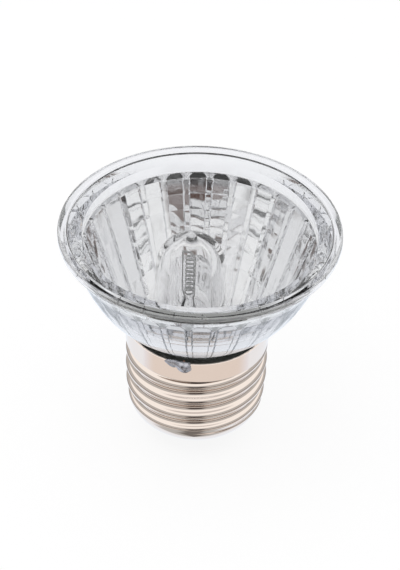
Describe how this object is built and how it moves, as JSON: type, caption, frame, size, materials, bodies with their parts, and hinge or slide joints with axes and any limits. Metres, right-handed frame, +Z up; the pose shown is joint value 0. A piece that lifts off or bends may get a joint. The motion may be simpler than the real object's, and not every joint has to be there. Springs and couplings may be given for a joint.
{
  "type": "reflector lamp",
  "caption": "Halogen reflector lamp: fluted silvered glass bowl with a flat clear front glass and a quartz burner, on a threaded metal screw cap with a centre contact.",
  "frame": {"origin": "middle of the underside of the centre contact, at the foot of the screw cap", "axes": "+Z up the lamp's axis from the contact to the front glass; -Y is the side seen in the picture, with the solder spot on it"},
  "size_m": [0.0508, 0.0508, 0.0457],
  "materials": {
    "reflector_glass": "clear pressed glass, fluted inside face coated with bright aluminium",
    "clear_glass": "clear flat float glass",
    "glass_cement": "thin pale grey cement bead",
    "quartz": "clear fused quartz",
    "tungsten": "drawn dark grey metal",
    "foil": "thin grey metal foil",
    "putty": "matt grey fired putty",
    "cap_plating": "nickel-plated brass sheet, bright",
    "black_glass": "black glass, glossy",
    "contact_brass": "brass, slightly dull",
    "solder": "tin solder, bright grey and lumpy",
    "copper_wire": "drawn copper wire",
    "glass_fibre": "woven white glass fibre"
  },
  "bodies": {
    "root": {"reflector": "reflector_glass", "cover_glass": "clear_glass", "cover_bead": "glass_cement", "burner_glass": "quartz", "filament": "tungsten", "burner_lead_far": "tungsten", "burner_lead_near": "tungsten", "burner_foil_far": "foil", "burner_foil_near": "foil", "burner_pin_far": "tungsten", "burner_pin_near": "tungsten", "burner_putty": "putty", "cap_cement": "putty", "screw_shell": "cap_plating", "cap_insulator": "black_glass", "centre_contact": "contact_brass", "centre_solder": "solder", "side_solder": "solder", "shell_wire": "copper_wire", "contact_wire": "copper_wire", "wire_sleeve": "glass_fibre"}
  },
  "joints": []
}
